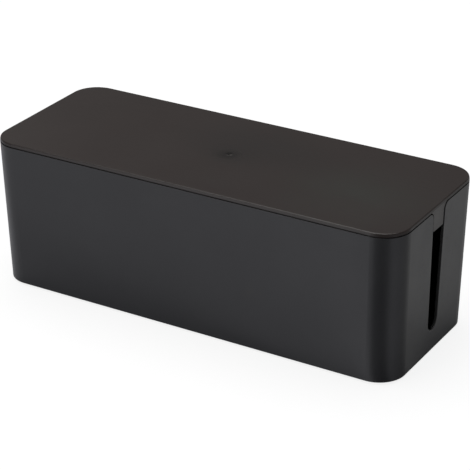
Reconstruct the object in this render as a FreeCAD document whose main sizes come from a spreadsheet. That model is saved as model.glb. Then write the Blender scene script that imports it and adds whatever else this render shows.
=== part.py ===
import FreeCAD, Part
import math
import os
import Sketcher

# A cable management box: a deep moulded tub with a cable slot in each end, a flush lift-off
# lid whose two tabs close the tops of the slots, and four rubber feet.
#
# Frame: millimetres, +Z up, +X along the box, -Y the front long side. The origin is the
# centre of the footprint, on the surface that the feet stand on.
#
# Pieces: tub, lid, foot_front_left, foot_front_right, foot_back_left, foot_back_right.
#
# Both mouldings share one tapered outline: a rounded rectangle that is largest at the lid and
# draws in towards the base by the draft of the end walls and of the side walls. Only the lid's
# visible edge leaves it, leaning inwards above the shadow gap.

os.makedirs("parts", exist_ok=True)
doc = FreeCAD.newDocument("cable_box")

# Driving sizes
SIZES = (
    # the shared outline
    ("box_length", 407.0, "length of the shared outline at the height of the lid's top"),
    ("box_width", 157.7, "width of the shared outline at the height of the lid's top"),
    ("box_height", 139.9, "underside of the tub to the top of the lid"),
    ("corner_radius", 25.0, "outer corner radius in plan, the same at every height"),
    ("end_draft", 1.1, "degrees that each end wall leans outwards"),
    ("side_draft", 1.6, "degrees that each side wall leans outwards"),
    # the tub
    ("wall_thickness", 2.5, "tub wall, and the lid's tab at its root"),
    ("floor_thickness", 2.8, "tub floor"),
    ("base_edge_radius", 0.8, "rounding round the outside of the floor"),
    ("inner_floor_radius", 3.0, "rounding between floor and walls inside"),
    ("edge_break", 0.35, "moulded rounding of the exposed outer edges"),
    # the cable slot in each end wall
    ("slot_top_width", 22.4, "between the slot's flanks at the top of the tub"),
    ("slot_round_diameter", 18.0, "full round at the slot's lower end"),
    ("slot_floor_height", 20.6, "underside of the tub to the lowest point of the slot"),
    ("slot_shoulder_radius", 6.5, "rounding of the wall's top edge at the slot's mouth"),
    # the beads inside each end wall that centre the lid's skirt
    ("bead_radius", 1.0, "section radius of a bead"),
    ("bead_rise", 0.35, "how far a bead stands out of the wall"),
    ("bead_length", 18.0, "length of a bead along the wall"),
    ("bead_offset", 29.0, "middle of the slot to the middle of a bead"),
    ("bead_drop", 12.5, "top of the tub down to a bead"),
    # the lid
    ("lid_rim_height", 2.9, "visible edge of the lid"),
    ("lid_rim_lean", 12.0, "degrees that the lid's visible edge leans inwards going up"),
    ("lid_gap", 0.9, "shadow gap between lid and tub"),
    ("lid_skin", 3.2, "thickness of the lid's top, which spans the whole box"),
    ("lid_edge_radius", 1.2, "rounding of the lid's top edge"),
    ("seat_inset", 1.2, "depth of the shadow gap, where the lid's seat starts"),
    ("skirt_clearance", 0.5, "between the lid's skirt and the inside of the tub"),
    ("skirt_root", 1.8, "skirt thickness under the lid's top"),
    ("skirt_draft", 1.3, "degrees that the skirt's outer face leans inwards going down"),
    ("skirt_release", 0.5, "degrees that the skirt's inner face leans outwards going down"),
    ("skirt_depth", 14.0, "top of the tub down to the skirt's lower edge"),
    ("skirt_break_margin", 3.0, "from the slot's shoulder to the end of the skirt"),
    ("tab_drop", 19.0, "top of the tub down to the tab's lower edge"),
    ("tab_gap", 1.3, "shadow gap beside each tab"),
    ("tab_inset", 0.5, "how far a tab's face stands back from the end wall's face"),
    ("tab_corner_radius", 0.8, "rounding of the tab's two lower corners"),
    ("gusset_thickness", 1.2, "ribs that brace each tab"),
    ("gusset_spacing", 12.0, "between the two ribs of one tab"),
    ("gusset_reach", 10.0, "from the tab inwards under the lid's top"),
    ("gusset_drop", 12.0, "top of the tub down to a rib's lower end"),
    # the gate marks in the middle of the lid and under the tub
    ("gate_dimple_diameter", 7.0, "shallow dimple round the moulding gate"),
    ("gate_dimple_depth", 0.4, "depth of that dimple"),
    ("gate_stub_diameter", 1.6, "broken-off stub of the gate"),
    ("gate_stub_height", 0.25, "height of the stub above the dimple's floor"),
    # the rubber feet and their recesses
    ("foot_diameter", 14.0, "foot where it enters its recess"),
    ("foot_tread_diameter", 12.6, "foot where it stands"),
    ("foot_thickness", 2.5, "whole foot"),
    ("foot_edge_radius", 0.5, "rounding of the tread's edge"),
    ("foot_recess_depth", 1.0, "recess in the underside of the tub"),
    ("foot_clearance", 0.25, "round the foot in its recess"),
    ("foot_end_inset", 28.0, "end of the box to the middle of a foot"),
    ("foot_side_inset", 26.0, "side of the box to the middle of a foot"),
    # shared by every cut and by the search for edges
    ("overrun", 2.0, "how far a cut runs past the material"),
    ("tolerance", 0.05, "how close a point counts as touching"),
)

sheet = doc.addObject("Spreadsheet::Sheet", "sizes")
for row, (alias, number, note) in enumerate(SIZES, start=1):
    sheet.set(f"A{row}", alias)
    sheet.set(f"B{row}", str(number))
    sheet.set(f"C{row}", note)
    sheet.setAlias(f"B{row}", alias)
doc.recompute()

# Heights and places worked out from the driving sizes, as expressions.
# Heights named in the tub count from its underside, and in the lid from the top of the tub.
TUB_HEIGHT = "(sizes.box_height - sizes.lid_rim_height - sizes.lid_gap)"
LID_TOP = "(sizes.lid_gap + sizes.lid_rim_height)"
LID_CEILING = "(sizes.lid_gap + sizes.lid_rim_height - sizes.lid_skin)"
FOOT_STAND = "(sizes.foot_thickness - sizes.foot_recess_depth)"
FOOT_X = "(sizes.box_length / 2 - sizes.foot_end_inset)"
FOOT_Y = "(sizes.box_width / 2 - sizes.foot_side_inset)"
SLOT_ROUND_HEIGHT = "(sizes.slot_floor_height + sizes.slot_round_diameter / 2)"
SLOT_SLOPE = (f"((sizes.slot_top_width - sizes.slot_round_diameter) / 2"
              f" / ({TUB_HEIGHT} - {SLOT_ROUND_HEIGHT}))")
TAB_LOWER_HALF_WIDTH = (f"(sizes.slot_top_width / 2 - sizes.tab_drop * {SLOT_SLOPE}"
                        " - sizes.tab_gap)")
SHOULDER_HALF_WIDTH = "(sizes.slot_top_width / 2 + sizes.slot_shoulder_radius)"
SKIRT_FACE_INSET = "(sizes.wall_thickness + sizes.skirt_clearance)"


def value(expression):
    """The number that an expression comes to."""
    result = sheet.evalExpression(str(expression))
    return float(getattr(result, "Value", result))


def outline_size(height, inset="0"):
    """Length and width of the shared outline at a height above the tub's underside, drawn in
    by an inset, as two expressions."""
    below = f"(sizes.box_height - {height})"
    length = f"sizes.box_length - 2 * {below} * tan(sizes.end_draft) - 2 * {inset}"
    width = f"sizes.box_width - 2 * {below} * tan(sizes.side_draft) - 2 * {inset}"
    return length, width


def outside_by(point, underside):
    """How far a point lies outside the shared outline at its own height. The underside is
    the height of the tub's underside in the point's frame."""
    length, width = (value(size) for size in outline_size(point.z - underside))
    radius = value("sizes.corner_radius")
    across = abs(point.x) - length / 2 + radius
    along = abs(point.y) - width / 2 + radius
    return math.hypot(max(across, 0), max(along, 0)) + min(max(across, along), 0) - radius


def at_corner(point, underside, inset="0"):
    """Whether a point lies on a corner of the outline while its corners are still sharp."""
    length, width = (value(size) for size in outline_size(point.z - underside, inset))
    touch = value("sizes.tolerance")
    return abs(abs(point.x) - length / 2) < touch and abs(abs(point.y) - width / 2) < touch


# Sketches and features

def origin_plane(body, role):
    """One of the body's own origin planes."""
    return next(item for item in body.Origin.OriginFeatures if item.Role == role)


def new_body(name):
    """A body whose label names its piece."""
    body = doc.addObject("PartDesign::Body", name)
    body.Label = name
    return body


def new_sketch(body, name, role, offset="0"):
    """A sketch on one of the body's origin planes, moved along the plane's normal."""
    sketch = body.newObject("Sketcher::SketchObject", name)
    sketch.AttachmentSupport = [(origin_plane(body, role), "")]
    sketch.MapMode = "FlatFace"
    sketch.setExpression("AttachmentOffset.Base.z", str(offset))
    return sketch


def add_dimension(sketch, name, expression, kind, *places):
    """A named dimension of a sketch, driven by an expression."""
    number = value(expression)
    if kind == "Angle":
        number = math.radians(number)
    index = sketch.addConstraint(Sketcher.Constraint(kind, *places, number))
    sketch.renameConstraint(index, name)
    sketch.setExpression(f"Constraints.{name}", str(expression))


def point_at(across, up):
    """A point of a sketch, from two expressions."""
    return FreeCAD.Vector(value(across), value(up), 0)


def add_polygon(sketch, name, corners):
    """A closed polygon whose corners are pairs of expressions. Every corner is dimensioned
    from the sketch's origin, so negative places are given as distances on the other side."""
    points = [point_at(across, up) for across, up in corners]
    first = sketch.GeometryCount
    count = len(points)
    for index in range(count):
        following = points[(index + 1) % count]
        sketch.addGeometry(Part.LineSegment(points[index], following), False)
    for index in range(count):
        after = first + (index + 1) % count
        sketch.addConstraint(Sketcher.Constraint("Coincident", first + index, 2, after, 1))
    for index, (across, up) in enumerate(corners):
        add_place(sketch, f"{name}_{index}", first + index, 1, across, up)


def add_place(sketch, name, geometry, vertex, across, up):
    """Fixes one vertex of a sketch at a place given by two expressions."""
    for letter, kind, place in (("x", "DistanceX", across), ("y", "DistanceY", up)):
        distance = value(place)
        if abs(distance) < value("sizes.tolerance"):
            axis = -2 if letter == "x" else -1
            sketch.addConstraint(Sketcher.Constraint("PointOnObject", geometry, vertex, axis))
        else:
            add_dimension(sketch, f"{name}_{letter}", place, kind, -1, 1, geometry, vertex)


def add_circle(sketch, name, across, up, diameter):
    """A circle at a place given by two expressions."""
    radius = value(f"({diameter}) / 2")
    normal = FreeCAD.Vector(0, 0, 1)
    index = sketch.addGeometry(Part.Circle(point_at(across, up), normal, radius), False)
    add_place(sketch, f"{name}_centre", index, 3, across, up)
    add_dimension(sketch, f"{name}_radius", f"({diameter}) / 2", "Radius", index)


def add_rounded_rectangle(sketch, length, width, radius):
    """A rounded rectangle about the sketch's origin."""
    corner = value(radius)
    reach_x = value(length) / 2 - corner
    reach_y = value(width) / 2 - corner
    normal = FreeCAD.Vector(0, 0, 1)
    centres = ((reach_x, reach_y), (-reach_x, reach_y), (-reach_x, -reach_y), (reach_x, -reach_y))
    arcs = []
    for quarter, (across, up) in enumerate(centres):
        circle = Part.Circle(FreeCAD.Vector(across, up, 0), normal, corner)
        start = quarter * math.pi / 2
        arcs.append(sketch.addGeometry(Part.ArcOfCircle(circle, start, start + math.pi / 2), False))
    lines = []
    for quarter, (across, up) in enumerate(centres):
        turn = (quarter + 1) * math.pi / 2
        shift = FreeCAD.Vector(corner * math.cos(turn), corner * math.sin(turn), 0)
        start = FreeCAD.Vector(across, up, 0) + shift
        across, up = centres[(quarter + 1) % 4]
        end = FreeCAD.Vector(across, up, 0) + shift
        lines.append(sketch.addGeometry(Part.LineSegment(start, end), False))
    for quarter in range(4):
        following = arcs[(quarter + 1) % 4]
        sketch.addConstraint(Sketcher.Constraint("Tangent", arcs[quarter], 2, lines[quarter], 1))
        sketch.addConstraint(Sketcher.Constraint("Tangent", lines[quarter], 2, following, 1))
    for quarter, kind in enumerate(("Horizontal", "Vertical", "Horizontal", "Vertical")):
        sketch.addConstraint(Sketcher.Constraint(kind, lines[quarter]))
    for other in arcs[1:]:
        sketch.addConstraint(Sketcher.Constraint("Equal", arcs[0], other))
    sketch.addConstraint(Sketcher.Constraint("Symmetric", arcs[0], 3, arcs[2], 3, -1, 1))
    add_dimension(sketch, "corner", radius, "Radius", arcs[0])
    add_dimension(sketch, "length", length, "DistanceX", lines[1], 1, lines[3], 1)
    add_dimension(sketch, "width", width, "DistanceY", lines[2], 1, lines[0], 1)


def add_rectangle(sketch, length, width):
    """A rectangle with sharp corners about the sketch's origin."""
    reach = point_at(f"({length}) / 2", f"({width}) / 2")
    corners = [FreeCAD.Vector(reach.x * across, reach.y * up, 0)
               for across, up in ((1, 1), (-1, 1), (-1, -1), (1, -1))]
    lines = [sketch.addGeometry(Part.LineSegment(corners[side], corners[(side + 1) % 4]), False)
             for side in range(4)]
    for side, kind in enumerate(("Horizontal", "Vertical", "Horizontal", "Vertical")):
        sketch.addConstraint(Sketcher.Constraint("Coincident", lines[side], 2,
                                                 lines[(side + 1) % 4], 1))
        sketch.addConstraint(Sketcher.Constraint(kind, lines[side]))
    sketch.addConstraint(Sketcher.Constraint("Symmetric", lines[0], 1, lines[2], 1, -1, 1))
    add_dimension(sketch, "length", length, "DistanceX", lines[1], 1, lines[0], 1)
    add_dimension(sketch, "width", width, "DistanceY", lines[3], 1, lines[0], 1)


def sharp_outline(body, name, offset, height, inset="0"):
    """The shared outline with sharp corners, as a sketch: where it lies in the body, the
    height above the tub's underside that it is taken at, and how far it is drawn in."""
    sketch = new_sketch(body, name, "XY_Plane", offset)
    add_rectangle(sketch, *outline_size(height, inset))
    return sketch


def rounded_outline(body, name, offset, height, inset):
    """The shared outline with its corners rounded, drawn in by an inset."""
    sketch = new_sketch(body, name, "XY_Plane", offset)
    add_rounded_rectangle(sketch, *outline_size(height, inset), f"sizes.corner_radius - {inset}")
    return sketch


def finish(feature, volume_before=None):
    """Computes a feature. It is an error if its shape is unsound, or if it was to take
    material away from a volume and took none."""
    doc.recompute()
    if feature.Shape.isNull() or not feature.Shape.isValid() or not feature.Shape.Solids:
        raise RuntimeError(f"{feature.Name} is not a sound solid")
    if volume_before is not None and not feature.Shape.Volume < volume_before:
        raise RuntimeError(f"{feature.Name} takes nothing away")
    return feature


def add_loft(body, name, kind, lower, upper):
    """A straight loft between two outlines, added or taken away."""
    loft = body.newObject(f"PartDesign::{kind}Loft", name)
    loft.Profile = lower
    loft.Sections = [upper]
    loft.Ruled = True
    return finish(loft)


def add_extrusion(body, name, kind, sketch, length, symmetric=False, reverse=False, taper="0"):
    """A pad or pocket of a sketch."""
    before = body.Shape.Volume if kind == "Pocket" else None
    feature = body.newObject(f"PartDesign::{kind}", name)
    feature.Profile = sketch
    feature.setExpression("Length", str(length))
    feature.SideType = "Symmetric" if symmetric else "One side"
    feature.Reversed = reverse
    feature.setExpression("TaperAngle", taper)
    return finish(feature, before)


def add_mirror(body, name, features, role):
    """The features repeated on the other side of one of the body's origin planes."""
    mirror = body.newObject("PartDesign::Mirrored", name)
    mirror.Originals = features
    mirror.MirrorPlane = (origin_plane(body, role), [""])
    body.Tip = mirror
    return finish(mirror)


def add_fillet(body, name, radius, wanted):
    """Rounds the edges of the body so far whose start, middle and end pass a test."""
    base = body.Tip
    names = []
    for number, edge in enumerate(base.Shape.Edges, start=1):
        first, last = edge.ParameterRange
        samples = [edge.valueAt(first + (last - first) * share) for share in (0, 0.5, 1)]
        if wanted(samples):
            names.append(f"Edge{number}")
    if not names:
        raise RuntimeError(f"{name} finds no edge")
    fillet = body.newObject("PartDesign::Fillet", name)
    fillet.Base = (base, names)
    fillet.setExpression("Radius", radius)
    return finish(fillet)


def add_gate_mark(body, level, facing_up):
    """The moulding gate in the middle of a face: a shallow round dimple with the broken-off
    stub of the gate in it."""
    half = "(sizes.gate_dimple_diameter / 2)"
    depth = "sizes.gate_dimple_depth"
    ball = f"(({half} ^ 2 + {depth} ^ 2) / (2 * {depth}))"
    inward = "-" if facing_up else "+"
    outward = "+" if facing_up else "-"
    before = body.Shape.Volume
    dimple = body.newObject("PartDesign::SubtractiveSphere", "gate_dimple")
    dimple.setExpression("Radius", ball)
    dimple.setExpression("Placement.Base.z", f"{level} {outward} ({ball} - {depth})")
    finish(dimple, before)
    sketch = new_sketch(body, "gate_stub_profile", "XY_Plane", f"{level} {inward} {depth}")
    add_circle(sketch, "stub", "0", "0", "sizes.gate_stub_diameter")
    add_extrusion(body, "gate_stub", "Pad", sketch, "sizes.gate_stub_height",
                  reverse=not facing_up)


# The tub

def build_tub():
    """Deep drafted shell, open at the top, with a slot down each end wall."""
    tub = new_body("tub")
    tub.setExpression("Placement.Base.z", FOOT_STAND)
    touch = value("sizes.tolerance")
    top = value(TUB_HEIGHT)
    floor = value("sizes.floor_thickness")

    outer_base = sharp_outline(tub, "outer_base", "0", "0")
    outer_top = sharp_outline(tub, "outer_top", TUB_HEIGHT, TUB_HEIGHT)
    add_loft(tub, "outer_walls", "Additive", outer_base, outer_top)
    wall = "sizes.wall_thickness"
    inner_base = sharp_outline(tub, "inner_base", "sizes.floor_thickness",
                               "sizes.floor_thickness", wall)
    inner_top = sharp_outline(tub, "inner_top", TUB_HEIGHT, TUB_HEIGHT, wall)
    add_loft(tub, "inner_walls", "Subtractive", inner_base, inner_top)
    add_fillet(tub, "inner_corners", f"sizes.corner_radius - {wall}",
               lambda points: all(at_corner(point, 0, wall) for point in points))
    add_fillet(tub, "outer_corners", "sizes.corner_radius",
               lambda points: all(at_corner(point, 0) for point in points))
    add_foot_recesses(tub)
    add_gate_mark(tub, "0", facing_up=False)
    add_fillet(tub, "base_edge", "sizes.base_edge_radius",
               lambda points: all(abs(point.z) < touch and abs(outside_by(point, 0)) < touch
                                  for point in points))
    add_fillet(tub, "inner_floor_edge", "sizes.inner_floor_radius",
               lambda points: all(abs(point.z - floor) < touch for point in points))
    add_beads(tub)

    add_slot(tub)
    shoulder = value("sizes.slot_top_width") / 2
    add_fillet(tub, "slot_shoulders", "sizes.slot_shoulder_radius",
               lambda points: all(abs(point.z - top) < touch
                                  and abs(abs(point.y) - shoulder) < touch for point in points))
    above_seams = value("sizes.slot_floor_height") / 2
    add_fillet(tub, "outer_edges", "sizes.edge_break",
               lambda points: all(abs(outside_by(point, 0)) < touch and point.z > above_seams
                                  for point in points))
    return tub


def add_foot_recesses(tub):
    """A shallow round recess for each foot in the underside."""
    sketch = new_sketch(tub, "foot_recesses", "XY_Plane")
    for front, up in (("front", f"-{FOOT_Y}"), ("back", FOOT_Y)):
        for side, across in (("left", f"-{FOOT_X}"), ("right", FOOT_X)):
            add_circle(sketch, f"recess_{front}_{side}", across, up,
                       "sizes.foot_diameter + 2 * sizes.foot_clearance")
    add_extrusion(tub, "foot_recess_cut", "Pocket", sketch, "sizes.foot_recess_depth",
                  reverse=True)


def add_slot(tub):
    """Both cable slots in one cut: flanks that close in downwards onto a full round."""
    sketch = new_sketch(tub, "slot_profile", "YZ_Plane")
    radius = value("sizes.slot_round_diameter") / 2
    middle = FreeCAD.Vector(0, value(SLOT_ROUND_HEIGHT), 0)
    circle = Part.Circle(middle, FreeCAD.Vector(0, 0, 1), radius)
    half_width = value("sizes.slot_top_width") / 2
    top = value(TUB_HEIGHT)
    corners = (FreeCAD.Vector(half_width, top, 0), FreeCAD.Vector(-half_width, top, 0))
    side = FreeCAD.Vector(radius, 0, 0)
    arc = sketch.addGeometry(Part.ArcOfCircle(circle, math.pi, 2 * math.pi), False)
    right = sketch.addGeometry(Part.LineSegment(middle + side, corners[0]), False)
    mouth = sketch.addGeometry(Part.LineSegment(corners[0], corners[1]), False)
    left = sketch.addGeometry(Part.LineSegment(corners[1], middle - side), False)
    sketch.addConstraint(Sketcher.Constraint("Tangent", arc, 2, right, 1))
    sketch.addConstraint(Sketcher.Constraint("Coincident", right, 2, mouth, 1))
    sketch.addConstraint(Sketcher.Constraint("Coincident", mouth, 2, left, 1))
    sketch.addConstraint(Sketcher.Constraint("Tangent", left, 2, arc, 1))
    sketch.addConstraint(Sketcher.Constraint("PointOnObject", arc, 3, -2))
    sketch.addConstraint(Sketcher.Constraint("Symmetric", mouth, 1, mouth, 2, -2))
    add_dimension(sketch, "round", "sizes.slot_round_diameter / 2", "Radius", arc)
    add_dimension(sketch, "round_height", SLOT_ROUND_HEIGHT, "DistanceY", -1, 1, arc, 3)
    add_dimension(sketch, "mouth_width", "sizes.slot_top_width", "DistanceX", mouth, 2, mouth, 1)
    add_dimension(sketch, "mouth_height", TUB_HEIGHT, "DistanceY", -1, 1, mouth, 1)
    add_extrusion(tub, "slots", "Pocket", sketch, "sizes.box_length + 2 * sizes.overrun",
                  symmetric=True)


def add_beads(tub):
    """Four low round-backed beads inside the end walls, one on each side of each slot."""
    height = f"({TUB_HEIGHT} - sizes.bead_drop)"
    length, _ = outline_size(height, "sizes.wall_thickness")
    centre = f"(({length}) / 2 + sizes.bead_radius - sizes.bead_rise)"
    sketch = new_sketch(tub, "bead_sections", "XZ_Plane", "-sizes.bead_offset")
    add_circle(sketch, "right_bead", centre, height, "2 * sizes.bead_radius")
    add_circle(sketch, "left_bead", f"-{centre}", height, "2 * sizes.bead_radius")
    beads = add_extrusion(tub, "beads", "Pad", sketch, "sizes.bead_length", symmetric=True)
    add_mirror(tub, "bead_pairs", [beads], "XZ_Plane")


# The lid

def build_lid():
    """Flat plate with a rim, a skirt that drops inside the tub and a tab at each end."""
    lid = new_body("lid")
    lid.setExpression("Placement.Base.z", f"{FOOT_STAND} + {TUB_HEIGHT}")
    touch = value("sizes.tolerance")
    top = value(LID_TOP)
    gate = value("sizes.gate_dimple_diameter")
    rim_foot = value("sizes.lid_gap")
    underside = -value(TUB_HEIGHT)

    seat = rounded_outline(lid, "seat_outline", "0", TUB_HEIGHT, "sizes.seat_inset")
    add_extrusion(lid, "seat", "Pad", seat, "sizes.lid_gap")
    skirt = rounded_outline(lid, "skirt_outline", "0", TUB_HEIGHT, SKIRT_FACE_INSET)
    add_extrusion(lid, "skirt_block", "Pad", skirt, "sizes.skirt_depth", reverse=True,
                  taper="-sizes.skirt_draft")

    add_tabs(lid)
    plate = rounded_outline(lid, "plate_outline", "sizes.lid_gap",
                            f"({TUB_HEIGHT} + sizes.lid_gap)", "0")
    add_extrusion(lid, "plate", "Pad", plate, "sizes.lid_rim_height",
                  taper="-sizes.lid_rim_lean")
    add_gate_mark(lid, LID_TOP, facing_up=True)

    clear = new_sketch(lid, "tab_back_clearance", "XY_Plane", "-sizes.tab_drop")
    back = "(sizes.box_length / 2 - sizes.wall_thickness)"
    side = f"({SHOULDER_HALF_WIDTH} + sizes.skirt_break_margin)"
    add_polygon(clear, "clear", ((f"-{back}", f"-{side}"), (back, f"-{side}"),
                                 (back, side), (f"-{back}", side)))
    add_extrusion(lid, "tab_back_cut", "Pocket", clear, "sizes.tab_drop", reverse=True)

    hollow = rounded_outline(lid, "hollow_outline", LID_CEILING, TUB_HEIGHT,
                             f"({SKIRT_FACE_INSET} + sizes.skirt_root)")
    add_extrusion(lid, "hollow", "Pocket", hollow, f"{LID_CEILING} + sizes.skirt_depth",
                  taper="sizes.skirt_release")
    add_gussets(lid)

    lower_edge = -value("sizes.tab_drop")
    half_width = value(TAB_LOWER_HALF_WIDTH)
    add_fillet(lid, "tab_corners", "sizes.tab_corner_radius",
               lambda points: all(abs(point.z - lower_edge) < touch
                                  and abs(abs(point.y) - half_width) < touch
                                  for point in points))
    add_fillet(lid, "rim_foot_edge", "sizes.edge_break",
               lambda points: all(abs(outside_by(point, underside)) < touch
                                  and abs(point.z - rim_foot) < touch for point in points))
    add_fillet(lid, "top_edge", "sizes.lid_edge_radius",
               lambda points: all(abs(point.z - top) < touch
                                  and math.hypot(point.x, point.y) > gate
                                  for point in points))
    return lid


def add_tabs(lid):
    """Both tabs as the ends of one bar: the slot's shape less the gap, flared at the top to
    follow the tub's shoulders, and trimmed a little behind the drafted ends."""
    sketch = new_sketch(lid, "tab_profile", "YZ_Plane")
    half = value(TAB_LOWER_HALF_WIDTH)
    slope = value(SLOT_SLOPE)
    lower = -value("sizes.tab_drop")
    gap = value("sizes.lid_gap")
    flare = value("sizes.slot_shoulder_radius") + gap
    upper = gap + value("sizes.overrun") / 2
    lean = math.atan(slope)
    arc_height = gap - flare
    flank_top_height = arc_height + flare * math.sin(lean)
    flank_top = half + (flank_top_height - lower) * slope
    arc_centre = flank_top + flare * math.cos(lean)

    def place(across, up):
        return FreeCAD.Vector(across, up, 0)

    normal = FreeCAD.Vector(0, 0, 1)
    right_circle = Part.Circle(place(arc_centre, arc_height), normal, flare)
    left_circle = Part.Circle(place(-arc_centre, arc_height), normal, flare)
    lines = (
        (place(-half, lower), place(half, lower)),
        (place(half, lower), place(flank_top, flank_top_height)),
        (place(arc_centre, gap), place(arc_centre, upper)),
        (place(arc_centre, upper), place(-arc_centre, upper)),
        (place(-arc_centre, upper), place(-arc_centre, gap)),
        (place(-flank_top, flank_top_height), place(-half, lower)),
    )
    bottom, right_flank, right_step, roof, left_step, left_flank = (
        sketch.addGeometry(Part.LineSegment(start, end), False) for start, end in lines)
    right_arc = sketch.addGeometry(
        Part.ArcOfCircle(right_circle, math.pi / 2, math.pi - lean), False)
    left_arc = sketch.addGeometry(
        Part.ArcOfCircle(left_circle, lean, math.pi / 2), False)
    for kind, *places in (
            ("Coincident", bottom, 2, right_flank, 1), ("Tangent", right_flank, 2, right_arc, 2),
            ("Coincident", right_arc, 1, right_step, 1), ("Coincident", right_step, 2, roof, 1),
            ("Coincident", roof, 2, left_step, 1), ("Coincident", left_step, 2, left_arc, 2),
            ("Tangent", left_arc, 1, left_flank, 1), ("Coincident", left_flank, 2, bottom, 1),
            ("Horizontal", right_arc, 1, left_arc, 2),
            ("Vertical", right_step), ("Vertical", left_step),
            ("Symmetric", bottom, 1, bottom, 2, -2), ("Symmetric", roof, 1, roof, 2, -2),
            ("Equal", right_arc, left_arc), ("Vertical", right_arc, 3, right_step, 1),
            ("Vertical", left_arc, 3, left_step, 2)):
        sketch.addConstraint(Sketcher.Constraint(kind, *places))
    add_dimension(sketch, "lower_width", f"2 * {TAB_LOWER_HALF_WIDTH}", "DistanceX",
                  bottom, 1, bottom, 2)
    add_dimension(sketch, "lower_edge", "sizes.tab_drop", "DistanceY", bottom, 1, -1, 1)
    add_dimension(sketch, "flare", "sizes.slot_shoulder_radius + sizes.lid_gap", "Radius",
                  right_arc)
    add_dimension(sketch, "rim_foot", "sizes.lid_gap", "DistanceY", -1, 1, right_arc, 1)
    add_dimension(sketch, "roof_height", "sizes.lid_gap + sizes.overrun / 2", "DistanceY",
                  -1, 1, roof, 1)
    add_dimension(sketch, "lean", f"90 deg - atan({SLOT_SLOPE})", "Angle", right_flank)
    add_extrusion(lid, "tab_bar", "Pad", sketch, "sizes.box_length + 2 * sizes.overrun",
                  symmetric=True)

    trim = new_sketch(lid, "tab_trim", "XZ_Plane")
    low = "(-sizes.tab_drop - sizes.overrun)"
    high = "(sizes.lid_gap + sizes.overrun / 2)"
    low_reach = f"(({outline_size(f'({TUB_HEIGHT} + {low})', 'sizes.tab_inset')[0]}) / 2)"
    high_reach = f"(({outline_size(f'({TUB_HEIGHT} + {high})', 'sizes.tab_inset')[0]}) / 2)"
    outside = "(sizes.box_length / 2 + 2 * sizes.overrun)"
    add_polygon(trim, "right", ((low_reach, low), (outside, low),
                                (outside, high), (high_reach, high)))
    add_polygon(trim, "left", ((f"-{low_reach}", low), (f"-{high_reach}", high),
                               (f"-{outside}", high), (f"-{outside}", low)))
    add_extrusion(lid, "tab_trim_cut", "Pocket", trim, "sizes.box_width", symmetric=True)


def add_gussets(lid):
    """Two thin triangular ribs behind each tab, tying it to the lid's top."""
    back = "(sizes.box_length / 2 - sizes.wall_thickness)"
    reach = f"({back} - sizes.gusset_reach)"
    inside = f"({back} + sizes.edge_break)"
    sketch = new_sketch(lid, "gusset_profile", "XZ_Plane", "sizes.gusset_spacing / 2")
    upper = f"({LID_CEILING} + sizes.edge_break)"
    for name, sign in (("right", ""), ("left", "-")):
        add_polygon(sketch, name, ((f"{sign}{reach}", upper), (f"{sign}{inside}", upper),
                                   (f"{sign}{inside}", "-sizes.gusset_drop"),
                                   (f"{sign}{back}", "-sizes.gusset_drop"),
                                   (f"{sign}{reach}", LID_CEILING)))
    ribs = add_extrusion(lid, "gussets", "Pad", sketch, "sizes.gusset_thickness", symmetric=True)
    add_mirror(lid, "gusset_pair", [ribs], "XZ_Plane")


# The rubber feet

def build_foot(name, across, along):
    """A round rubber foot, tapered to its tread, with its top in the tub's recess."""
    foot = new_body(name)
    foot.setExpression("Placement.Base.x", across)
    foot.setExpression("Placement.Base.y", along)
    touch = value("sizes.tolerance")
    profile = new_sketch(foot, "foot_profile", "XZ_Plane")
    add_polygon(profile, "half", (("0", "0"), ("sizes.foot_tread_diameter / 2", "0"),
                                  ("sizes.foot_diameter / 2", "sizes.foot_thickness"),
                                  ("0", "sizes.foot_thickness")))
    turned = foot.newObject("PartDesign::Revolution", "turned")
    turned.Profile = profile
    turned.ReferenceAxis = (profile, ["V_Axis"])
    turned.Angle = 360
    finish(turned)
    add_fillet(foot, "tread_edge", "sizes.foot_edge_radius",
               lambda points: all(abs(point.z) < touch and math.hypot(point.x, point.y) > touch
                                  for point in points))
    return foot


def build_feet():
    """One foot near each corner."""
    feet = []
    for front, along in (("front", f"-{FOOT_Y}"), ("back", FOOT_Y)):
        for side, across in (("left", f"-{FOOT_X}"), ("right", FOOT_X)):
            feet.append(build_foot(f"foot_{front}_{side}", across, along))
    return feet


pieces = [build_tub(), build_lid(), *build_feet()]
doc.recompute()

# Every object is sound before any file is written
for item in doc.Objects:
    if "Invalid" in item.State or "Error" in item.State:
        raise RuntimeError(f"{item.Name} is in state {item.State}")
for item in doc.Objects:
    if item.TypeId == "Sketcher::SketchObject" and not item.FullyConstrained:
        raise RuntimeError(f"{item.Name} is not fully constrained")
for piece in pieces:
    if piece.Shape.isNull() or not piece.Shape.isValid() or len(piece.Shape.Solids) != 1:
        raise RuntimeError(f"{piece.Label} is not one sound solid")

for piece in pieces:
    piece.Shape.exportStep(f"parts/{piece.Label}.step")
    centre = piece.Shape.CenterOfGravity
    print(f"{piece.Label}: {piece.Shape.Volume:.0f} mm3 about "
          f"{centre.x:.2f}, {centre.y:.2f}, {centre.z:.2f}")
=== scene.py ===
# %% [markdown]
# # A black cable management box
#
# The object is a long box of injection-moulded plastic that hides a power strip. It has a deep
# tub with leaning walls, a flat lid that lies flush with them, a slot for cords in each end, and
# four rubber feet. Its solids come ready made, in metres, with the origin on the table under the
# middle of the box. What is left to do here is the part that a solid can't hold: how moulded
# black plastic looks, the small marks that moulding leaves, and the light that shows both.
#
# A black, slightly shiny thing is the hardest kind to photograph, because it has hardly any
# colour of its own. Nearly all that the eye gets is the room mirrored in it. So the light
# matters as much as the plastic, and each has cells of its own below.

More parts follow.
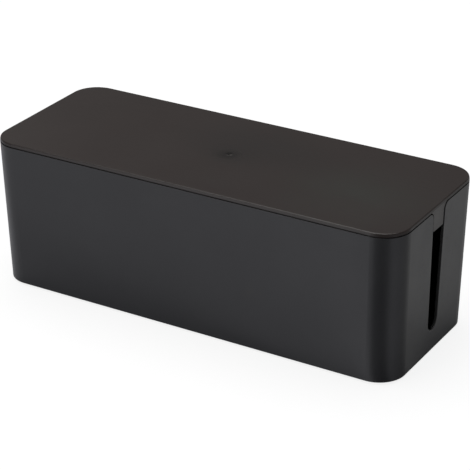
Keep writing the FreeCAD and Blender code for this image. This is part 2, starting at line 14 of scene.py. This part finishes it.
# %%
# Load the solids and keep their measured box
import bpy
import math
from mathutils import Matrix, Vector


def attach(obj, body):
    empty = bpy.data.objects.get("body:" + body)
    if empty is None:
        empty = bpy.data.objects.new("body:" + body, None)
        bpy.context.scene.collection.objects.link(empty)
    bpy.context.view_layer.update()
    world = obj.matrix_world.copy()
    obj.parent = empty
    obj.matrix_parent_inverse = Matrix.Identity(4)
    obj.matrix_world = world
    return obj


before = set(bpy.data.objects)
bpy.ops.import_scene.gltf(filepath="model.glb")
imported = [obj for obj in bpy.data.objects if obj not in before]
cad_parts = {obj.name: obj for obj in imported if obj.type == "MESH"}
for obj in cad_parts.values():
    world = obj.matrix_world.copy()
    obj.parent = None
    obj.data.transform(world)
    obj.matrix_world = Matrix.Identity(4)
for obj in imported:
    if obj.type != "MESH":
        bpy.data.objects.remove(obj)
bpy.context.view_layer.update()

MM = 0.001
scene = bpy.context.scene


# %% [markdown]
# ## The camera
#
# The photograph is taken from the right, a little over the box, with a long lens: the long edges
# hardly draw together. The numbers here come from matching the box's outline to the photograph.
# A camera could be turned by hand until the outline fits. It is set from an eye, an aim and a
# last small roll instead, because those say plainly where the photographer stood.

# %%
# Place the camera
CAMERA_EYE = Vector((796.8, -1323.7, 813.6)) * MM
CAMERA_AIM = Vector((6.1, -0.9, 64.5)) * MM
CAMERA_ROLL = -0.269
FOCAL_LENGTH = 147.19
SENSOR_WIDTH = 36
NEAREST, FARTHEST = 0.05, 60

camera_data = bpy.data.cameras.new("camera")
camera_data.lens = FOCAL_LENGTH
camera_data.sensor_width = SENSOR_WIDTH
camera_data.clip_start, camera_data.clip_end = NEAREST, FARTHEST
camera = bpy.data.objects.new("camera", camera_data)
scene.collection.objects.link(camera)
camera.location = CAMERA_EYE
view = (CAMERA_AIM - CAMERA_EYE).to_track_quat("-Z", "Y").to_matrix()
right, up = view.col[0].copy(), view.col[1].copy()
roll = math.radians(CAMERA_ROLL)
view.col[0] = right * math.cos(roll) + up * math.sin(roll)
view.col[1] = up * math.cos(roll) - right * math.sin(roll)
camera.rotation_euler = view.to_euler()
scene.camera = camera
print("camera", round((CAMERA_AIM - CAMERA_EYE).length, 3), "m away, lens", FOCAL_LENGTH, "mm")


# %% [markdown]
# ## Helpers for node trees
#
# Every finish below is a small graph of nodes. A few helpers keep its cells short. Each takes
# numbers or other nodes' outputs alike, so a graph reads like a sum.

# %%
# Helpers that add nodes
def plug(tree, socket, given):
    """Fills a socket with a number or colour, or links another node's output to it."""
    if isinstance(given, bpy.types.NodeSocket):
        tree.links.new(given, socket)
    else:
        socket.default_value = given


def add(tree, kind, **inputs):
    """A new node with its inputs filled by name."""
    node = tree.nodes.new(kind)
    for name, given in inputs.items():
        plug(tree, node.inputs[name.replace("_", " ")], given)
    return node


def maths(tree, operation, *values):
    """The result of a Math node."""
    node = tree.nodes.new("ShaderNodeMath")
    node.operation = operation
    for socket, given in zip(node.inputs, values):
        plug(tree, socket, given)
    return node.outputs[0]


def ramp(tree, value, start, end, low=0.0, high=1.0, smooth=True):
    """Goes from low to high, and no further, as a value goes from start to end."""
    node = add(tree, "ShaderNodeMapRange", Value=value)
    node.interpolation_type = "SMOOTHSTEP" if smooth else "LINEAR"
    for socket, given in zip(node.inputs[1:5], (start, end, low, high)):
        plug(tree, socket, given)
    return node.outputs["Result"]


def blend_colours(tree, share, first, second):
    """Two colours mixed by a share."""
    node = tree.nodes.new("ShaderNodeMix")
    node.data_type = "RGBA"
    for index, given in ((0, share), (6, first), (7, second)):
        plug(tree, node.inputs[index], given)
    return node.outputs[2]


def blotches(tree, place, across, detail=2.0):
    """Noise whose blotches are about so many metres across."""
    node = add(tree, "ShaderNodeTexNoise", Vector=place, Scale=1 / across, Detail=detail)
    return node.outputs["Fac"]


def split(tree, place):
    """The x, y and z of a place."""
    return add(tree, "ShaderNodeSeparateXYZ", Vector=place).outputs


# %% [markdown]
# ## The table
#
# The box stands on a plain white table, so wide that its edge is never in the picture. Black
# plastic mirrors the table beside it, and a photographer lays cards on the table: grey ones to
# draw a dark line down a rounded corner, and a small white one where the box's own shadow would
# make its foot too dark. The table does that job itself here. A ray that comes from a glossy
# surface finds it greyer, and a little blue, in some directions round the front right corner,
# and a little lighter in the shadow in front. Every other ray finds it white. A picture of such
# a table is burnt out to pure white, so the table also shines a little, for the camera alone.

# %%
# The table's finish
CORNER = Vector((190, -60, 0)) * MM
# Degrees round the corner, where 0 is straight out to the front and 90 to the right, and how
# light the mirrored table is that way
TONES = ((-180, 0.25), (-150, 0.26), (-122, 0.14), (-100, 0.29), (-82, 0.40), (-70, 0.56),
         (-45, 0.64), (-38, 0.75), (-27, 0.82), (-17, 0.42), (-6, 0.22), (4, 0.18), (22, 0.13),
         (38, 0.16), (50, 0.27), (62, 0.43), (78, 0.41), (98, 0.33), (122, 0.25), (137, 0.25),
         (149, 0.42), (158, 0.375), (166, 0.31), (180, 0.25))
# The cards' tint: a little blue up to this angle, and neutral past it
BLUE_UP_TO = 110
BLUE_PAPER = (0.985, 0.985, 1.035)
WHITE_PAPER = (1, 1, 1)
TABLE_WHITE = (0.85, 0.85, 0.85, 1)
# The small white card in the box's shadow: it fades in between two places in front of the box,
# fades out between two at its right, and lifts the tone by a share
CARD_IN_FRONT = (-155 * MM, -85 * MM)
CARD_AT_RIGHT = (160 * MM, 220 * MM)
CARD_LIFT = 0.30
# What the camera sees: how much of the table is burnt out, and to what white
BURN_OUT = 0.8
BURNT_WHITE = 1.02


def table_finish():
    """White card, toned for mirrored rays and burnt out for the camera."""
    material = bpy.data.materials.new("white_table")
    material.use_nodes = True
    tree = material.node_tree
    tree.nodes.clear()
    x, y, _ = split(tree, tree.nodes.new("ShaderNodeTexCoord").outputs["Object"])
    angle = maths(tree, "DEGREES", maths(tree, "ARCTAN2", maths(tree, "SUBTRACT", x, CORNER.x),
                                         maths(tree, "SUBTRACT", CORNER.y, y)))
    tones = tree.nodes.new("ShaderNodeValToRGB")
    tones.color_ramp.interpolation = "EASE"
    while len(tones.color_ramp.elements) < len(TONES):
        tones.color_ramp.elements.new(1.0)
    for stop, (degrees, level) in zip(tones.color_ramp.elements, TONES):
        stop.position = (degrees + 180) / 360
        tint = BLUE_PAPER if degrees <= BLUE_UP_TO else WHITE_PAPER
        stop.color = (*(level * part for part in tint), 1)
    tree.links.new(ramp(tree, angle, -180, 180, smooth=False), tones.inputs[0])
    near = maths(tree, "MULTIPLY", ramp(tree, y, *CARD_IN_FRONT),
                 ramp(tree, x, *CARD_AT_RIGHT, 1.0, 0.0))
    lifted = tree.nodes.new("ShaderNodeVectorMath")
    lifted.operation = "SCALE"
    plug(tree, lifted.inputs[0], tones.outputs["Color"])
    plug(tree, lifted.inputs["Scale"], maths(tree, "MULTIPLY_ADD", near, CARD_LIFT, 1.0))
    path = tree.nodes.new("ShaderNodeLightPath").outputs
    tone = blend_colours(tree, path["Is Glossy Ray"], TABLE_WHITE, lifted.outputs[0])
    card = add(tree, "ShaderNodeBsdfDiffuse", Color=tone)
    burnt = add(tree, "ShaderNodeEmission", Strength=BURNT_WHITE)
    share = maths(tree, "MULTIPLY", path["Is Camera Ray"], BURN_OUT)
    both = add(tree, "ShaderNodeMixShader", Fac=share)
    tree.links.new(card.outputs[0], both.inputs[1])
    tree.links.new(burnt.outputs[0], both.inputs[2])
    add(tree, "ShaderNodeOutputMaterial", Surface=both.outputs[0])
    return material


# %%
# The table itself
TABLE_RADIUS = 9.0
TABLE_SIDES = 96

rim = [(TABLE_RADIUS * math.cos(step * math.tau / TABLE_SIDES),
        TABLE_RADIUS * math.sin(step * math.tau / TABLE_SIDES), 0) for step in range(TABLE_SIDES)]
table_mesh = bpy.data.meshes.new("table")
table_mesh.from_pydata(rim, [], [tuple(range(TABLE_SIDES))])
table_mesh.materials.append(table_finish())
table = bpy.data.objects.new("table", table_mesh)
scene.collection.objects.link(table)
print("table", 2 * TABLE_RADIUS, "m across")


# %% [markdown]
# ## The light
#
# Plain soft studio light: a pale room all round and three lamps with cloth fronts. The large one
# hangs over the box. It could be small, but then the lid's thin rounded edge would catch a hard
# white dot instead of the long soft line that the photograph shows. A low one at the front left
# draws the lid's leaning edge as a paler band, and a weak one at the back left lightens the
# lid's far end. The room is dimmer and warmer where the lid mirrors it, which gives the lid its
# brown cast.

# %%
# The room
# The room as it lights the box, as the box mirrors it and as the camera sees it
ROOM_TO_LIGHT = (0.98, 0.99, 1.0, 1)
ROOM_SHADE = 0.75
ROOM_TO_MIRROR = (0.25, 0.235, 0.23, 1)
ROOM_TO_CAMERA = (0.93, 0.93, 0.93, 1)

world = bpy.data.worlds.new("room")
world.use_nodes = True
scene.world = world
room = world.node_tree
room.nodes.clear()
path = room.nodes.new("ShaderNodeLightPath")
lit = add(room, "ShaderNodeBackground", Color=ROOM_TO_LIGHT, Strength=ROOM_SHADE)
mirrored = add(room, "ShaderNodeBackground", Color=ROOM_TO_MIRROR, Strength=1.0)
seen = add(room, "ShaderNodeBackground", Color=ROOM_TO_CAMERA, Strength=1.0)
either = add(room, "ShaderNodeMixShader", Fac=path.outputs["Is Glossy Ray"])
room.links.new(lit.outputs[0], either.inputs[1])
room.links.new(mirrored.outputs[0], either.inputs[2])
any_ray = add(room, "ShaderNodeMixShader", Fac=path.outputs["Is Camera Ray"])
room.links.new(either.outputs[0], any_ray.inputs[1])
room.links.new(seen.outputs[0], any_ray.inputs[2])
add(room, "ShaderNodeOutputWorld", Surface=any_ray.outputs[0])
print("the room lights the box at", ROOM_SHADE, "of white")


# %%
# The lamps
# Each lamp's name, place, aim, width and height in metres, watts and colour
LAMPS = (("overhead_lamp", (-0.3, 0.1, 1.9), (0, 0, 0), 1.8, 1.4, 25, (1.0, 0.99, 0.98)),
         ("front_lamp", (-0.86, -2.12, 0.62), (0, 0, 0.1), 1.1, 1.0, 6.5, (1.0, 1.0, 1.0)),
         ("back_lamp", (-1.86, 1.30, 1.06), (0, 0, 0.1), 1.0, 1.0, 0.6, (1.0, 0.98, 0.95)))


def soft_lamp(name, place, aim, width, height, watts, colour):
    """A rectangular lamp with a cloth front."""
    data = bpy.data.lights.new(name, "AREA")
    data.shape, data.size, data.size_y = "RECTANGLE", width, height
    data.energy, data.color = watts, colour
    lamp = bpy.data.objects.new(name, data)
    scene.collection.objects.link(lamp)
    lamp.location = place
    lamp.rotation_euler = (Vector(aim) - Vector(place)).to_track_quat("-Z", "Y").to_euler()
    print(name, "gives", watts, "W from a cloth", width, "by", height, "m")


for lamp_facts in LAMPS:
    soft_lamp(*lamp_facts)
scene.view_settings.view_transform = "Standard"
scene.view_settings.look = "None"


# %% [markdown]
# ## Black moulded plastic
#
# The tub and the lid are moulded in the same black plastic, in a mould whose steel was
# spark-eroded to a fine even texture. That texture makes the surface satin: it mirrors the room,
# but blurred. A picture of plastic could be wrapped round the box, but it would repeat, and
# smear at the corners. A finish worked out from each point's own place in metres has no seams
# and the right scale everywhere.
#
# The finish has, from coarse to fine: slow changes of gloss where the plastic cooled at
# different rates, the touch marks of hands, a few hairline scratches, and the eroded grain. Some
# marks belong to one place. Cords have polished the edges of the slots, and a paler colour there
# is a painted highlight. The hot plastic that came in through the gate has left a darker, glossier
# blush round it. The near black core in the gate's dimple is painted shade, and a pale spot on
# the stub that was twisted off there is a painted highlight. Patches with soft edges, placed in
# millimetres on the box, put them there.

# %%
# The plastic's layers
GRAIN_ACROSS = 0.5 * MM
GRAIN_HEIGHT = 0.006 * MM
WAVE_ACROSS = 90 * MM
WAVE_HEIGHT = 0.05 * MM
PLASTIC_IOR = 1.5
# The noise levels between which the gloss goes from one blotch to the next
GLOSS_LEVELS = (0.3, 0.7)
# Hairlines are drawn out along one way by this much, and start and end at these noise levels
HAIRLINE_STRETCH = (0.04, 1.0, 1.0)
HAIRLINE_LEVELS = (0.70, 0.78)


def new_finish(name):
    """An empty material with its output and one shader."""
    material = bpy.data.materials.new(name)
    material.use_nodes = True
    tree = material.node_tree
    tree.nodes.clear()
    shader = tree.nodes.new("ShaderNodeBsdfPrincipled")
    add(tree, "ShaderNodeOutputMaterial", Surface=shader.outputs[0])
    place = tree.nodes.new("ShaderNodeTexCoord").outputs["Object"]
    return material, tree, shader, place


def surface_relief(tree, place, wave_height, grain_height, grain_across):
    """A normal that carries the cooled sheet's slow waves and the eroded grain on them."""
    waves = add(tree, "ShaderNodeBump", Height=blotches(tree, place, WAVE_ACROSS, 1.0),
                Distance=wave_height, Strength=1.0)
    grain = add(tree, "ShaderNodeBump", Height=blotches(tree, place, grain_across, 1.0),
                Distance=grain_height, Strength=1.0, Normal=waves.outputs[0])
    return grain.outputs[0]


def scratches(tree, place, across, turn):
    """Hairlines that run mostly one way: 1 on a hairline, 0 off it."""
    turned = add(tree, "ShaderNodeMapping", Vector=place, Rotation=(0, 0, turn),
                 Scale=HAIRLINE_STRETCH)
    streaks = blotches(tree, turned.outputs[0], across, 0.0)
    return ramp(tree, streaks, *HAIRLINE_LEVELS)


def patch(tree, place, middle, reach, turn=(0, 0, 0)):
    """1 in the middle of an oval patch and 0 outside it, with sizes in mm and turns in degrees."""
    moved = add(tree, "ShaderNodeMapping", Vector=place)
    moved.vector_type = "TEXTURE"
    moved.inputs["Location"].default_value = Vector(middle) * MM
    moved.inputs["Rotation"].default_value = [math.radians(part) for part in turn]
    moved.inputs["Scale"].default_value = Vector(reach) * MM
    length = tree.nodes.new("ShaderNodeVectorMath")
    length.operation = "LENGTH"
    tree.links.new(moved.outputs[0], length.inputs[0])
    return ramp(tree, length.outputs["Value"], 0.0, 1.0, 1.0, 0.0)


# %% [markdown]
# ### The tub
#
# The tub mirrors the white table, and its black carries a cool cast, a painted reflection of that
# table. Cords are pulled in and out of its slots, and they rub the edges there to a polish. Along
# those edges the colour is also made paler, a painted highlight. The band could be painted on,
# but here it is worked out from the slot's own shape, a round with two leaning flanks. So it
# follows the edge all the way, and stays right if the slot changes.

# %%
# The tub's finish
# Both of the tub's blacks carry a cool cast, a painted reflection of the white table
TUB_BLACK_PAINTED_COOL = (0.0068, 0.0070, 0.0082, 1)
TUB_DUSTED_PAINTED_COOL = (0.0084, 0.0086, 0.0098, 1)
# Painted highlight: the paler colour along the slot edges
SLOT_EDGE_PAINTED_HIGHLIGHT = (0.016, 0.016, 0.016, 1)
FINGER_MARK = (0.014, 0.0125, 0.011, 1)
TUB_CLOUDS, TUB_CLOUD_LEVELS = 60 * MM, (0.35, 0.75)
# Roughness of the tub's glossier and duller blotches, and how far across these are
TUB_GLOSS, TUB_GLOSS_ACROSS = (0.28, 0.33), 35 * MM
# Patches: middle and reach in mm, and turn in degrees
FINGER_PATCH, FINGER_SHARE = ((69, -76, 56), (16, 20, 12)), 0.5
FINGER_RIDGES, FINGER_LEVELS = 3 * MM, (0.35, 0.65)
SCUFFS = (((-169, -77, 95), (11, 8, 1.6), (0, 28, 0)), ((-164, -77, 97), (8, 8, 1.2), (0, 28, 0)))
# Hairlines: how far across and which way, in radians
TUB_HAIRLINES = (4 * MM, 0.1)
# The polish and the painted highlight start from a line along the slot: the height of the middle
# of the slot's round, the line's half widths there and at the lid's tab, and about the height of
# the tab's lower edge
SLOT_MIDDLE_HEIGHT = 31.1 * MM
SLOT_HALF_WIDTHS = (9.0 * MM, 11.2 * MM)
TAB_HEIGHT = 118 * MM
# How far off that line the polish and the painted highlight fade, where along the box they begin,
# and where they stop under the tab
POLISH_AND_HIGHLIGHT_FADES = (0.3 * MM, 1.6 * MM)
END_WALLS = (190 * MM, 195 * MM)
UNDER_TAB = (TAB_HEIGHT - 4 * MM, TAB_HEIGHT + 2 * MM)
# How much each mark adds to the roughness or takes from it
FINGER_DULLS, SCUFF_DULLS, TUB_HAIRLINE_DULLS, POLISH_GLOSSES = 0.05, 0.12, 0.04, 0.10


def polished_and_highlighted_slot_edges(tree, place):
    """1 on the slots' edges, which cords have polished and which are painted paler as a highlight,
    and 0 a little way off them.
    """
    x, y, z = split(tree, place)
    half_width = ramp(tree, z, SLOT_MIDDLE_HEIGHT, TAB_HEIGHT, *SLOT_HALF_WIDTHS, smooth=False)
    below = maths(tree, "MAXIMUM", maths(tree, "SUBTRACT", SLOT_MIDDLE_HEIGHT, z), 0.0)
    from_middle = maths(tree, "SQRT", maths(tree, "MULTIPLY_ADD", below, below,
                                            maths(tree, "MULTIPLY", y, y)))
    off_edge = maths(tree, "SUBTRACT", from_middle, half_width)
    at_end = ramp(tree, maths(tree, "ABSOLUTE", x), *END_WALLS)
    under_tab = ramp(tree, z, *UNDER_TAB, 1.0, 0.0)
    return maths(tree, "MULTIPLY", ramp(tree, off_edge, *POLISH_AND_HIGHLIGHT_FADES, 1.0, 0.0),
                 maths(tree, "MULTIPLY", at_end, under_tab))


def tub_finish():
    """Satin black with a painted cool cast, touch marks, and slots polished by cords and painted
    paler.
    """
    material, tree, shader, place = new_finish("tub_plastic_satin_black")
    clouds = blotches(tree, place, TUB_CLOUDS, 3.0)
    colour = blend_colours(tree, ramp(tree, clouds, *TUB_CLOUD_LEVELS), TUB_BLACK_PAINTED_COOL, TUB_DUSTED_PAINTED_COOL)
    finger = maths(tree, "MULTIPLY", patch(tree, place, *FINGER_PATCH),
                   ramp(tree, blotches(tree, place, FINGER_RIDGES, 2.0), *FINGER_LEVELS))
    smudged = maths(tree, "MULTIPLY", finger, FINGER_SHARE)
    colour = blend_colours(tree, smudged, colour, FINGER_MARK)
    lightened = polished_and_highlighted_slot_edges(tree, place)
    # Painted highlight: the slot edges are made paler
    colour = blend_colours(tree, lightened, colour, SLOT_EDGE_PAINTED_HIGHLIGHT)
    plug(tree, shader.inputs["Base Color"], colour)

    gloss = ramp(tree, blotches(tree, place, TUB_GLOSS_ACROSS, 3.0), *GLOSS_LEVELS, *TUB_GLOSS)
    scuff = maths(tree, "ADD", *(patch(tree, place, *facts) for facts in SCUFFS))
    hairlines = scratches(tree, place, *TUB_HAIRLINES)
    dull = maths(tree, "ADD", maths(tree, "MULTIPLY", finger, FINGER_DULLS),
                 maths(tree, "MULTIPLY_ADD", scuff, SCUFF_DULLS,
                       maths(tree, "MULTIPLY", hairlines, TUB_HAIRLINE_DULLS)))
    polished = maths(tree, "MULTIPLY", lightened, POLISH_GLOSSES)
    plug(tree, shader.inputs["Roughness"],
         maths(tree, "SUBTRACT", maths(tree, "ADD", gloss, dull), polished))
    plug(tree, shader.inputs["Normal"],
         surface_relief(tree, place, WAVE_HEIGHT, GRAIN_HEIGHT, GRAIN_ACROSS))
    shader.inputs["IOR"].default_value = PLASTIC_IOR
    return material


# %% [markdown]
# ### The lid
#
# The lid lies open to dust, and it mirrors the dim room instead of the table, so its black carries
# a warmer cast, a painted reflection of that room. Near its right end it is greener and paler in
# uneven blotches. A wide patch across its middle is painted shade. In its middle is the gate,
# where the plastic was injected: a darker, glossier blush round it, a near black core that is
# painted shade in the gate's dimple, and a pale spot on the stub that is a painted highlight. Its
# two tabs are a little paler. Each of these is a soft patch that covers a share of the colour
# under it, so they lie over one another.

# %%
# The lid's finish
# Both of the lid's blacks carry a warm cast, a painted reflection of the dim room
LID_BLACK_PAINTED_WARM = (0.0083, 0.0045, 0.0037, 1)
LID_DUSTED_PAINTED_WARM = (0.0100, 0.0061, 0.0052, 1)
# Darker black for the gate's blush, and for the painted shade across the lid's middle
LID_BLUSH_AND_PAINTED_SHADE = (0.0030, 0.0022, 0.0020, 1)
# Near black for the painted shade in the gate's dimple
LID_GATE_CORE_PAINTED_SHADE = (0.0008, 0.0008, 0.0008, 1)
LID_GREENER = (0.0098, 0.0106, 0.0084, 1)
# Painted highlight on the gate's stub
STUB_PAINTED_HIGHLIGHT = (0.034, 0.031, 0.029, 1)
TAB_PALER = (0.0170, 0.0150, 0.0140, 1)
LID_CLOUDS, LID_CLOUD_LEVELS = 80 * MM, (0.35, 0.75)
LID_GLOSS, LID_GLOSS_ACROSS = (0.30, 0.35), 45 * MM
# Patches: middle and reach in mm
GREENER_PATCH = ((136, -22, 141), (98, 84, 30))
GREENER_BLOTCHES, GREENER_LEVELS, GREENER_SHARES = 55 * MM, (0.30, 0.66), (0.45, 1.0)
# A wide darker patch across the lid's middle is painted shade
PAINTED_SHADE_PATCH, PAINTED_SHADE_SHARE = ((15, 26, 141), (110, 60, 30)), 0.65
BLUSH_PATCH, BLUSH_SHARE = ((1, 1, 141), (32, 28, 30)), 0.9
GATE_CORE_PATCH = ((-0.5, -1.0, 141), (15, 15, 30))
STUB_HIGHLIGHT_PATCH = ((1.6, -0.2, 141), (1.9, 1.9, 3))
TAB_MIDDLE, TAB_REACH = (203, 0, 129), (8, 18, 18)
# Hairlines: how far across and which way, in radians
LID_HAIRLINES = ((3 * MM, 0.35), (5 * MM, -1.1))
# How much each mark adds to the roughness or takes from it
LID_HAIRLINE_DULLS, BLUSH_GLOSSES, GATE_CORE_GLOSSES = 0.02, 0.06, 0.12
# How strongly the plastic mirrors away from the gate and on it
MIRROR_OFF_AND_ON_GATE = (0.5, 0.36)


def lid_finish():
    """Satin black with a painted warm cast, painted shade, a dark blush round the gate and a
    greener patch.
    """
    material, tree, shader, place = new_finish("lid_plastic_satin_black")
    clouds = blotches(tree, place, LID_CLOUDS, 3.0)
    colour = blend_colours(tree, ramp(tree, clouds, *LID_CLOUD_LEVELS), LID_BLACK_PAINTED_WARM, LID_DUSTED_PAINTED_WARM)
    greener = maths(tree, "MULTIPLY", patch(tree, place, *GREENER_PATCH),
                 ramp(tree, blotches(tree, place, GREENER_BLOTCHES, 3.0), *GREENER_LEVELS, *GREENER_SHARES))
    colour = blend_colours(tree, greener, colour, LID_GREENER)
    # Painted shade across the lid's middle
    painted_shade = patch(tree, place, *PAINTED_SHADE_PATCH)
    colour = blend_colours(tree, maths(tree, "MULTIPLY", painted_shade, PAINTED_SHADE_SHARE), colour, LID_BLUSH_AND_PAINTED_SHADE)
    blush = patch(tree, place, *BLUSH_PATCH)
    colour = blend_colours(tree, maths(tree, "MULTIPLY", blush, BLUSH_SHARE), colour, LID_BLUSH_AND_PAINTED_SHADE)
    # Painted shade in the gate's dimple: near black, and mirroring less
    burnt = patch(tree, place, *GATE_CORE_PATCH)
    colour = blend_colours(tree, burnt, colour, LID_GATE_CORE_PAINTED_SHADE)
    # Painted highlight on the gate's stub
    colour = blend_colours(tree, patch(tree, place, *STUB_HIGHLIGHT_PATCH), colour, STUB_PAINTED_HIGHLIGHT)
    across, *rest = TAB_MIDDLE
    for end in (1, -1):
        lightened = patch(tree, place, (across * end, *rest), TAB_REACH)
        colour = blend_colours(tree, lightened, colour, TAB_PALER)
    plug(tree, shader.inputs["Base Color"], colour)

    gloss = ramp(tree, blotches(tree, place, LID_GLOSS_ACROSS, 3.0), *GLOSS_LEVELS, *LID_GLOSS)
    hairlines = maths(tree, "ADD", *(scratches(tree, place, *facts) for facts in LID_HAIRLINES))
    dull = maths(tree, "MULTIPLY", hairlines, LID_HAIRLINE_DULLS)
    glossy = maths(tree, "MULTIPLY_ADD", blush, BLUSH_GLOSSES,
                   maths(tree, "MULTIPLY", burnt, GATE_CORE_GLOSSES))
    plug(tree, shader.inputs["Specular IOR Level"],
         ramp(tree, burnt, 0.0, 1.0, *MIRROR_OFF_AND_ON_GATE))
    plug(tree, shader.inputs["Roughness"],
         maths(tree, "SUBTRACT", maths(tree, "ADD", gloss, dull), glossy))
    plug(tree, shader.inputs["Normal"],
         surface_relief(tree, place, WAVE_HEIGHT, GRAIN_HEIGHT, GRAIN_ACROSS))
    shader.inputs["IOR"].default_value = PLASTIC_IOR
    return material


# %% [markdown]
# ## Rubber feet
#
# The feet are punched from a sheet of black rubber. Rubber is duller than the plastic and
# scatters light from a powdery skin, so it is rougher, a little lighter, and has a coarser grain.

# %%
# The feet's finish
RUBBER_BLACK = (0.020, 0.020, 0.020, 1)
RUBBER_BLOOM = (0.045, 0.044, 0.042, 1)
BLOOM_ACROSS, BLOOM_LEVELS = 4 * MM, (0.4, 0.8)
RUBBER_ROUGHNESS = (0.68, 0.85)
RUBBER_GRAIN_HEIGHT, RUBBER_GRAIN_ACROSS = 0.012 * MM, 0.35 * MM
RUBBER_IOR = 1.52


def rubber_finish():
    """Dull black rubber with a pale bloom in blotches."""
    material, tree, shader, place = new_finish("foot_rubber_dull_black")
    bloom = ramp(tree, blotches(tree, place, BLOOM_ACROSS, 4.0), *BLOOM_LEVELS)
    plug(tree, shader.inputs["Base Color"], blend_colours(tree, bloom, RUBBER_BLACK, RUBBER_BLOOM))
    plug(tree, shader.inputs["Roughness"], ramp(tree, bloom, 0.0, 1.0, *RUBBER_ROUGHNESS))
    plug(tree, shader.inputs["Normal"],
         surface_relief(tree, place, 0.0, RUBBER_GRAIN_HEIGHT, RUBBER_GRAIN_ACROSS))
    shader.inputs["IOR"].default_value = RUBBER_IOR
    return material


# %% [markdown]
# ## Dressing the solids
#
# Each solid has one slot for a material. The finish goes into that slot and the solid itself
# stays as it is, because its sizes are the ones that the real parts are made to.

# %%
# Give each solid its finish
finishes = {"tub": tub_finish(), "lid": lid_finish()}
rubber = rubber_finish()
for name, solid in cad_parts.items():
    solid.material_slots[0].material = finishes.get(name, rubber)
    print(name, "is finished in", solid.material_slots[0].material.name)


# %% [markdown]
# ## Ejector marks
#
# Plastic shrinks on to its mould, so a row of round steel pins pushes each part off when the
# mould opens. Every pin leaves a low disc on the side that nobody sees: on the tub's floor and
# under the lid. They show once the lid is lifted. The photograph hides them, so their number
# and places are a guess from boxes of this size.
#
# The discs could be modelled one by one. They all repeat one shape on a grid, though, so one
# Geometry Nodes tree with a few named inputs makes both sets, and a mould with more pins is
# one changed number.

# %%
# A tree that lays discs out on a grid
DISC_SIDES = 40
# The scale of the most worn and of the least worn disc
WORN_DOWN, UNWORN = (1, 1, 0.6), (1, 1, 1)


def pin_tree():
    """Low discs with sloped sides on a grid, each worn to a height of its own."""
    tree = bpy.data.node_groups.new("ejector_marks", "GeometryNodeTree")
    for name, kind in (("Along", "NodeSocketFloat"), ("Across", "NodeSocketFloat"),
                       ("Columns", "NodeSocketInt"), ("Rows", "NodeSocketInt"),
                       ("Radius", "NodeSocketFloat"), ("Foot Radius", "NodeSocketFloat"),
                       ("Rise", "NodeSocketFloat"), ("Place", "NodeSocketVector"),
                       ("Turn", "NodeSocketVector"), ("Seed", "NodeSocketInt"),
                       ("Finish", "NodeSocketMaterial")):
        tree.interface.new_socket(name, in_out="INPUT", socket_type=kind)
    tree.interface.new_socket("Geometry", in_out="OUTPUT", socket_type="NodeSocketGeometry")
    given = tree.nodes.new("NodeGroupInput").outputs
    grid = add(tree, "GeometryNodeMeshGrid", Size_X=given["Along"], Size_Y=given["Across"],
               Vertices_X=given["Columns"], Vertices_Y=given["Rows"])
    disc = add(tree, "GeometryNodeMeshCone", Vertices=DISC_SIDES, Radius_Top=given["Radius"],
               Radius_Bottom=given["Foot Radius"], Depth=given["Rise"])
    worn = tree.nodes.new("FunctionNodeRandomValue")
    worn.data_type = "FLOAT_VECTOR"
    worn.inputs[0].default_value, worn.inputs[1].default_value = WORN_DOWN, UNWORN
    plug(tree, worn.inputs["Seed"], given["Seed"])
    discs = add(tree, "GeometryNodeInstanceOnPoints", Points=grid.outputs["Mesh"],
                Instance=disc.outputs["Mesh"], Scale=worn.outputs[0])
    placed = add(tree, "GeometryNodeTransform", Geometry=discs.outputs[0],
                 Translation=given["Place"], Rotation=given["Turn"])
    real = add(tree, "GeometryNodeRealizeInstances", Geometry=placed.outputs[0])
    done = add(tree, "GeometryNodeSetMaterial", Geometry=real.outputs[0],
               Material=given["Finish"])
    add(tree, "NodeGroupOutput", Geometry=done.outputs[0])
    return tree


# %%
# Mark the tub's floor and the lid's underside
PIN_RADIUS = 4.0 * MM
PIN_FOOT_RADIUS = 4.2 * MM
PIN_RISE = 0.25 * MM
# Heights of the two faces, and how deep a disc's foot is sunk in them
TUB_FLOOR = 4.3 * MM
LID_CEILING = 138.2 * MM
SUNK = 0.05 * MM
# Each grid's size, and its pins along the box and across it
FLOOR_GRID = {"Along": 300 * MM, "Across": 84 * MM, "Columns": 5, "Rows": 2}
CEILING_GRID = {"Along": 320 * MM, "Across": 100 * MM, "Columns": 6, "Rows": 2}

pins = pin_tree()


def mark(name, body, slot, **inputs):
    """A plain mesh of one body's marks, made by the tree with these inputs."""
    piece = bpy.data.objects.new(name, bpy.data.meshes.new(name))
    scene.collection.objects.link(piece)
    maker = piece.modifiers.new("ejector_marks", "NODES")
    maker.node_group = pins
    wanted = {"Radius": PIN_RADIUS, "Foot Radius": PIN_FOOT_RADIUS, "Rise": PIN_RISE, **inputs}
    for socket in pins.interface.items_tree:
        if socket.in_out == "INPUT":
            maker[socket.identifier] = wanted[socket.name]
    solid_piece = piece.evaluated_get(bpy.context.evaluated_depsgraph_get())
    piece_mesh = bpy.data.meshes.new_from_object(solid_piece)
    piece.modifiers.clear()
    piece.data = piece_mesh
    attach(piece, body)
    print(name, "has", len(piece_mesh.polygons), "faces")


mark("floor_ejector_marks", "tub_body", "tub_plastic", **FLOOR_GRID,
     Place=(0, 0, TUB_FLOOR - SUNK), Turn=(0, 0, 0), Seed=11, Finish=finishes["tub"])
mark("lid_ejector_marks", "lid_body", "lid_plastic", **CEILING_GRID,
     Place=(0, 0, LID_CEILING + SUNK), Turn=(math.pi, 0, 0), Seed=12, Finish=finishes["lid"])
